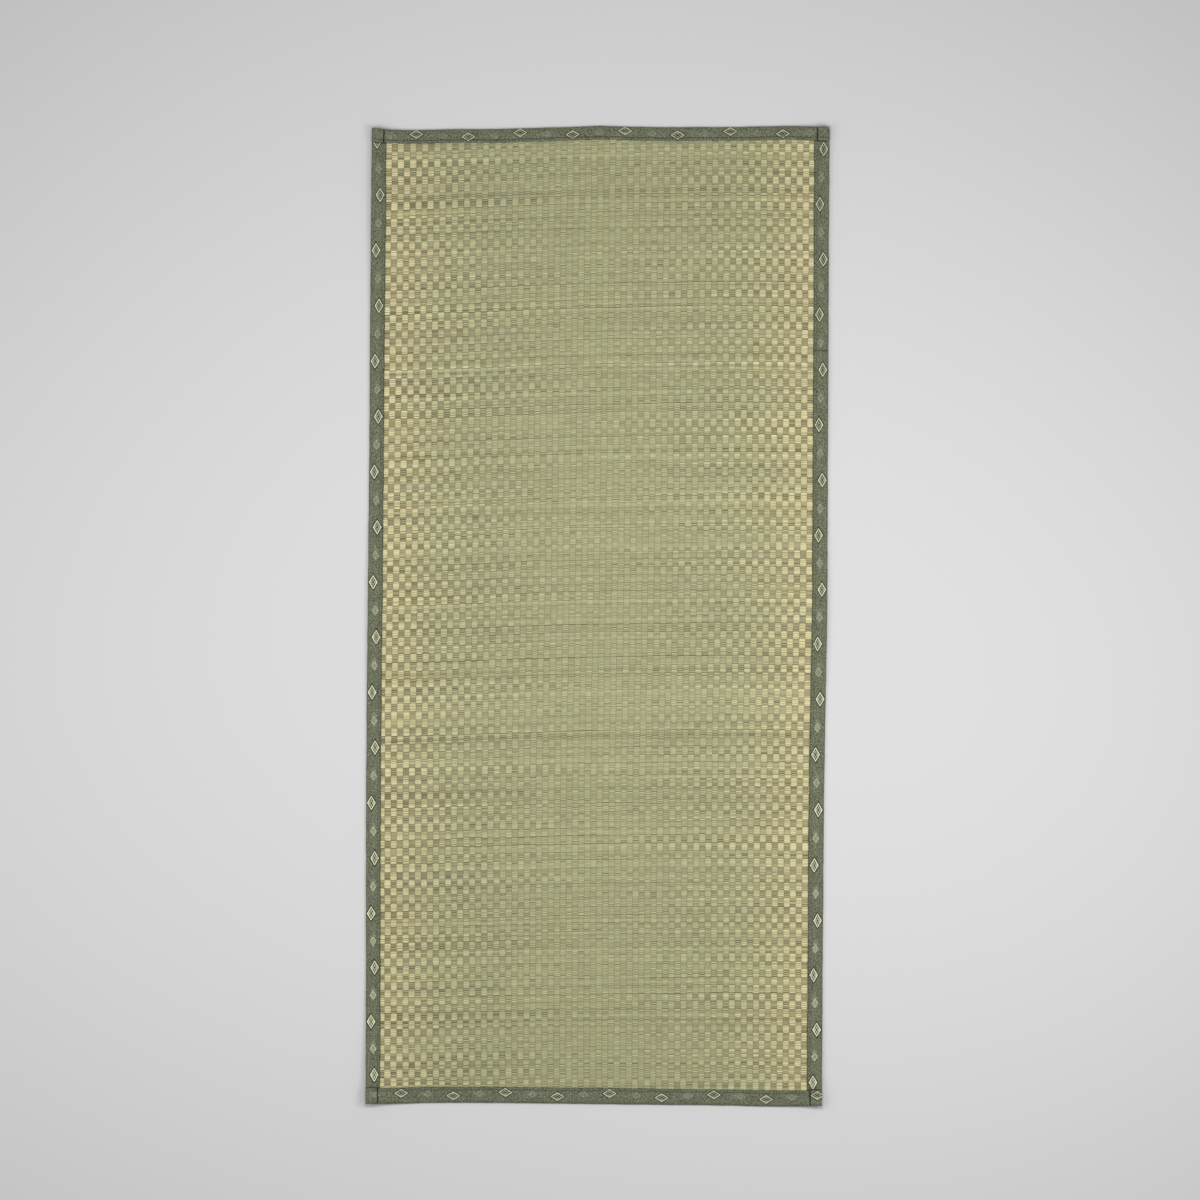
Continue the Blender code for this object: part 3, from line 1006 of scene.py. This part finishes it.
def rush_finish(name, relief):
    """Dry woven rush: each pick runs from a pale root to a dull tip, the next one the other way round;
    painted shade lies between the floats and at the edges of the checks.
    """
    rush = Finish(name)
    step, pick, _ = rush.mark("weave")
    column, check, side, within, number, lean = pick_layout(step, pick)
    share = step / COLUMNS_SHOWN
    from_root = share + side * (1 - 2 * share)
    tip = from_root.fall(1.0, 0.45) * (0.72 + 0.28 * side)
    root = from_root.fall(0.0, 0.45)
    colour = rush_colour(rush, step, column, check, number, from_root, tip, root)

    off = abs(lean)
    inset = step - column
    edge = inset.smallest(1 - inset)
    fibre = rush.cloudy(step * 2.2, pick * 7.0, 1.0, 3.0)
    speckle = rush.cloudy(step * 3.6, pick * 0.9, 1.0, 2.0, 5.0)
    hidden = number + lean.fall(0.05, -0.05) * 2 - 1
    slit = rush.chance(hidden, 33.0)
    slit_here = rush.chance(hidden, column + 53)
    # Painted shade: dark lines in the slits between floats, where a hidden pick lies, stronger at the tips
    slit_shade = (0.10 + 0.94 * slit * slit + 0.30 * slit_here) * (0.84 + 0.56 * tip)
    between = (1 - off.fall(0.48, 0.90)) * slit_shade
    colour = rush.tinted(colour, shade(146, 138, 108), between.smallest(1.0))
    # Painted shade at the edges of each column and where two rows of checks meet, times the fibre's own tone
    column_edge_shade = edge.fall(0.01, 0.17)
    check_row_shade = within.smallest(PICKS_PER_CHECK - within).fall(0.15, 0.60)
    depth = (1 - column_edge_shade * (0.18 + 0.09 * tip)) * (1 - 0.16 * check_row_shade) * (0.86 + 0.28 * fibre)
    colour = rush.tinted(colour, rush.grey(depth * (0.78 + 0.44 * speckle)))
    rush.feed(rush.shader.inputs["Base Color"], colour)
    rush.feed(rush.shader.inputs["Roughness"], 0.50 + 0.22 * fibre)
    rush.shader.inputs["Specular IOR Level"].default_value = 0.38
    height = fibre * 0.25
    if relief:
        height = height + (1 - off * off) * edge.fall(0.16, 0.0) * 1.6
    rush.raised(height, 0.0005)
    return rush.material


def diamond(along, across, long_half, wide_half):
    """Lozenge signals: how far out a point is, and how deep in one of its nine cells."""
    x = along / long_half
    y = across / wide_half
    one = x + y
    two = x - y
    out = abs(one).largest(abs(two))
    first = abs(((one + 1) * 1.5).fraction() - 0.5)
    second = abs(((two + 1) * 1.5).fraction() - 0.5)
    cell = first.largest(second).fall(0.27, 0.37)
    return out, cell, y


def large_diamonds(place, depth):
    """Signals of the large diamonds: inside one, on its outline, in one of its dark cells, close round it."""
    nearest = math.floor(place + 0.5)
    swing = 1 - 2 * (nearest % 2)
    out, cell, y = diamond((place - nearest) * MOTIF_PITCH, depth - swing * MOTIF_SWING, *LARGE_DIAMOND)
    inside = out.fall(0.97, 1.03)
    outline = inside * (1 - out.fall(0.79, 0.87))
    return inside, outline, cell, abs(y).fall(0.26, 0.48), out.fall(1.18, 1.50)


def small_diamonds(tape, place, depth, run, arc):
    """Signal of the fainter small diamonds with their trails, broken by the weave of the tape."""
    middle = math.floor(place) + 0.5
    along = (place - middle) * MOTIF_PITCH
    inward = depth - SMALL_INWARD
    out, cell, _ = diamond(along - SMALL_ALONG, inward, *SMALL_DIAMOND)
    trail_out, trail_cell, _ = diamond(along + TRAIL_ALONG, inward, *TRAIL_DIAMOND)
    ring = out.fall(0.94, 1.04) * (1 - out.fall(0.66, 0.76) * (0.35 + 0.50 * cell))
    trail = trail_out.fall(0.88, 1.08) * trail_cell * 0.42
    broken = tape.cloudy(run * 420, arc * 420, 1.0, 2.0, 1.0)
    return ring.largest(trail) * (1 - 0.45 * broken.fall(0.40, 0.56))


def ripple(run, pitch):
    """Sine of the place along a run, one wave to each pitch."""
    return (run * (2 * math.pi / pitch)).sine()


def tape_finish(name, seam_thread_and_shade, lip_shade, fold_shade):
    """Mottled sage tape, woven with pale outlined diamonds and fainter small ones between them, with painted
    shade at its seam, lip and fold, painted shadow lines and a painted sheen on the pale thread.
    """
    tape = Finish(name)
    # power carries the painted sheen of the pale thread: the diamonds are paler towards the near end and
    # duller on the end tapes
    place, depth, power = tape.mark("motif")
    run, arc, painted_shadow_line = tape.mark("cloth")
    inside, outline, cell, wing, halo = large_diamonds(place, depth)
    small = small_diamonds(tape, place, depth, run, arc)
    mottle = tape.cloudy((run + arc) * 230, (run - arc) * 420, 1.0, 2.0, 4.0)
    patch = tape.cloudy(run * 60, arc * 60, 1.0, 2.0, 9.0)
    twill = ((run + arc) * 1400).sine() * ((run - arc) * 1400).sine()
    light = 0.97 + 3.40 * (mottle - 0.5) + 0.60 * (patch - 0.5) + 0.10 * twill
    colour = tape.tinted(shade(106, 110, 89, TAPE_GAIN), tape.grey(light.largest(0.30)))
    colour = tape.tinted(colour, shade(155, 155, 150), halo * (1 - inside) * power.smallest(1.0))
    pale = shade(238, 237, 201, PALE_GAIN)
    core = inside * (1 - cell * wing) * power * power * 0.30
    colour = tape.blend((outline.largest(core) * power * 1.1).smallest(1.0), colour, pale)
    colour = tape.tinted(colour, shade(112, 115, 102), inside * cell * wing * (1 - outline))
    colour = tape.blend(small * power * power * power * 0.44, colour, pale)
    # Painted shade: the seam darkened in its dip, with darker dashes where its thread shows; the lip shaded
    # along its inner edge in beads; the cloth shaded towards the fold; and the painted shadow lines of the
    # cloth mark
    dash = 0.5 + 0.5 * ripple(run, STITCH_PITCH)
    seam = abs(arc - SEAM_INSET).fall(0.0002, 0.0016) * (0.35 + 0.65 * dash)
    bead = 0.5 + 0.5 * ripple(run, BEAD_PITCH)
    lip = arc.fall(0.0006, 0.0030) * (0.35 + 1.30 * bead)
    fold = 1 - arc.fall(0.0195, 0.0245)
    dark = (1 - seam_thread_and_shade * seam) * (1 - lip_shade * lip) * (1 - fold_shade * fold) * (1 - 0.90 * painted_shadow_line)
    colour = tape.tinted(colour, tape.grey(dark))
    tape.feed(tape.shader.inputs["Base Color"], colour)
    tape.feed(tape.shader.inputs["Roughness"], 0.78 + 0.16 * mottle)
    tape.shader.inputs["Specular IOR Level"].default_value = 0.25
    tape.shader.inputs["Sheen Weight"].default_value = 0.10
    tape.shader.inputs["Sheen Roughness"].default_value = 0.5
    weave = ripple(run, WARP_PITCH) * ripple(arc, WEFT_PITCH)
    tape.raised(weave * 0.35 + mottle * 1.2 + inside * (1 - cell) * 0.6, 0.00025)
    return tape.material


def thread_finish():
    """Sage sewing thread with its twist."""
    thread = Finish("sewing_thread")
    run, around, _ = thread.mark("cloth")
    twist = ((run * 1700 + around * 1200).fraction() - 0.5)
    ridge = abs(twist).fall(0.0, 0.5)
    wear = thread.cloudy(run * 300, around * 300, 1.0)
    # Painted shade: the thread is darker in the grooves of its twist than on its ridges
    colour = thread.tinted(shade(74, 79, 62, TAPE_GAIN), thread.grey(0.70 + 0.30 * ridge + 0.25 * wear))
    thread.feed(thread.shader.inputs["Base Color"], colour)
    thread.feed(thread.shader.inputs["Roughness"], 0.60 + 0.15 * wear)
    thread.raised(ridge, 0.00010)
    return thread.material


def floor_finish():
    """Plain pale floor."""
    floor = Finish("pale_floor")
    floor.shader.inputs["Base Color"].default_value = (0.780, 0.768, 0.772, 1.0)
    floor.shader.inputs["Roughness"].default_value = 0.85
    floor.shader.inputs["Specular IOR Level"].default_value = 0.2
    return floor.material


# Camera, floor and light

def add_camera():
    """Camera straight above the mat."""
    lens = bpy.data.cameras.new("camera")
    lens.sensor_width = 36.0
    height = 14.0
    view_width = 1.8386
    view_middle = (0.0037, 0.0249)
    lens.lens = lens.sensor_width * height / view_width
    camera = new_object("camera", lens)
    camera.location = (*view_middle, height)
    bpy.context.scene.camera = camera


def add_floor():
    """Large pale floor under the mat."""
    reach = 8.0
    mesh = bpy.data.meshes.new("floor")
    corners = [(-reach, -reach, 0), (reach, -reach, 0), (reach, reach, 0), (-reach, reach, 0)]
    mesh.from_pydata(corners, [], [(0, 1, 2, 3)])
    mesh.materials.append(floor_finish())
    floor = new_object("floor", mesh)
    floor.location.z = -0.0002


def add_light(name, place, target, size, power):
    """Square soft light turned to a target."""
    lamp = bpy.data.lights.new(name, "AREA")
    lamp.shape = "SQUARE"
    lamp.size = size
    lamp.energy = power
    light = new_object(name, lamp)
    light.location = place
    light.visible_camera = False
    heading = np.array(target) - np.array(place)
    tilt = math.atan2(math.hypot(heading[0], heading[1]), -heading[2])
    turn = math.atan2(heading[1], heading[0]) - math.pi / 2
    light.rotation_euler = (tilt, 0, turn)


def add_lighting():
    """Soft studio light: an even pale room, a key from the right, a weaker fill from the left, one above."""
    world = bpy.data.worlds.new("pale_room")
    world.use_nodes = True
    world.node_tree.nodes["Background"].inputs["Color"].default_value = (1.0, 0.995, 1.0, 1.0)
    world.node_tree.nodes["Background"].inputs["Strength"].default_value = 0.30
    bpy.context.scene.world = world
    add_light("key", (1.01, -0.28, 1.59), (0, -0.1, 0), 0.82, 10.1)
    add_light("fill", (-1.21, -0.27, 1.59), (0, -0.1, 0), 1.03, 7.4)
    add_light("overhead", (-0.04, 0.29, 2.20), (-0.04, 0.28, 0), 0.60, 15.8)


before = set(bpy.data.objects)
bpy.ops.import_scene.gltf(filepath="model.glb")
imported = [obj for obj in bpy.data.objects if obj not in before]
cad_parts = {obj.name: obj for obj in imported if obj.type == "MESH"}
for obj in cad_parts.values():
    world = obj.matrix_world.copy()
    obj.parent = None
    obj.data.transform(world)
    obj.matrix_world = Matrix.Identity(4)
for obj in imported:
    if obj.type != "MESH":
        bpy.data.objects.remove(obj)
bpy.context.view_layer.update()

bpy.context.scene.view_settings.view_transform = "Standard"
add_camera()
add_floor()
add_lighting()

woven = rush_finish("woven_rush", relief=False)
strips = woven_rushes(woven)
back = rush_back(rush_finish("woven_rush_back", relief=True))
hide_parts("rush_panel")

thread = thread_finish()
side_cloth = tape_finish("side_tape_cloth", seam_thread_and_shade=0.06, lip_shade=0.42, fold_shade=0.05)
for name, side in (("side_tape_left", -1), ("side_tape_right", 1)):
    piece, skin = side_tape(name, side, side_cloth)
    thread_run = stitches(name + "_stitches", skin, thread)
near_cloth = tape_finish("near_tape_cloth", seam_thread_and_shade=0.38, lip_shade=0.24, fold_shade=0.18)
far_cloth = tape_finish("far_tape_cloth", seam_thread_and_shade=0.62, lip_shade=0.10, fold_shade=0.04)
for name, end, width, flat_width, finish in (
        ("end_tape_near", -1, NEAR_TAPE_WIDTH, 0.047, near_cloth),
        ("end_tape_far", 1, FAR_TAPE_WIDTH, 0.043, far_cloth)):
    piece, skin = end_tape(name, end, width, finish)
    thread_run = stitches(name + "_stitches", skin, thread)
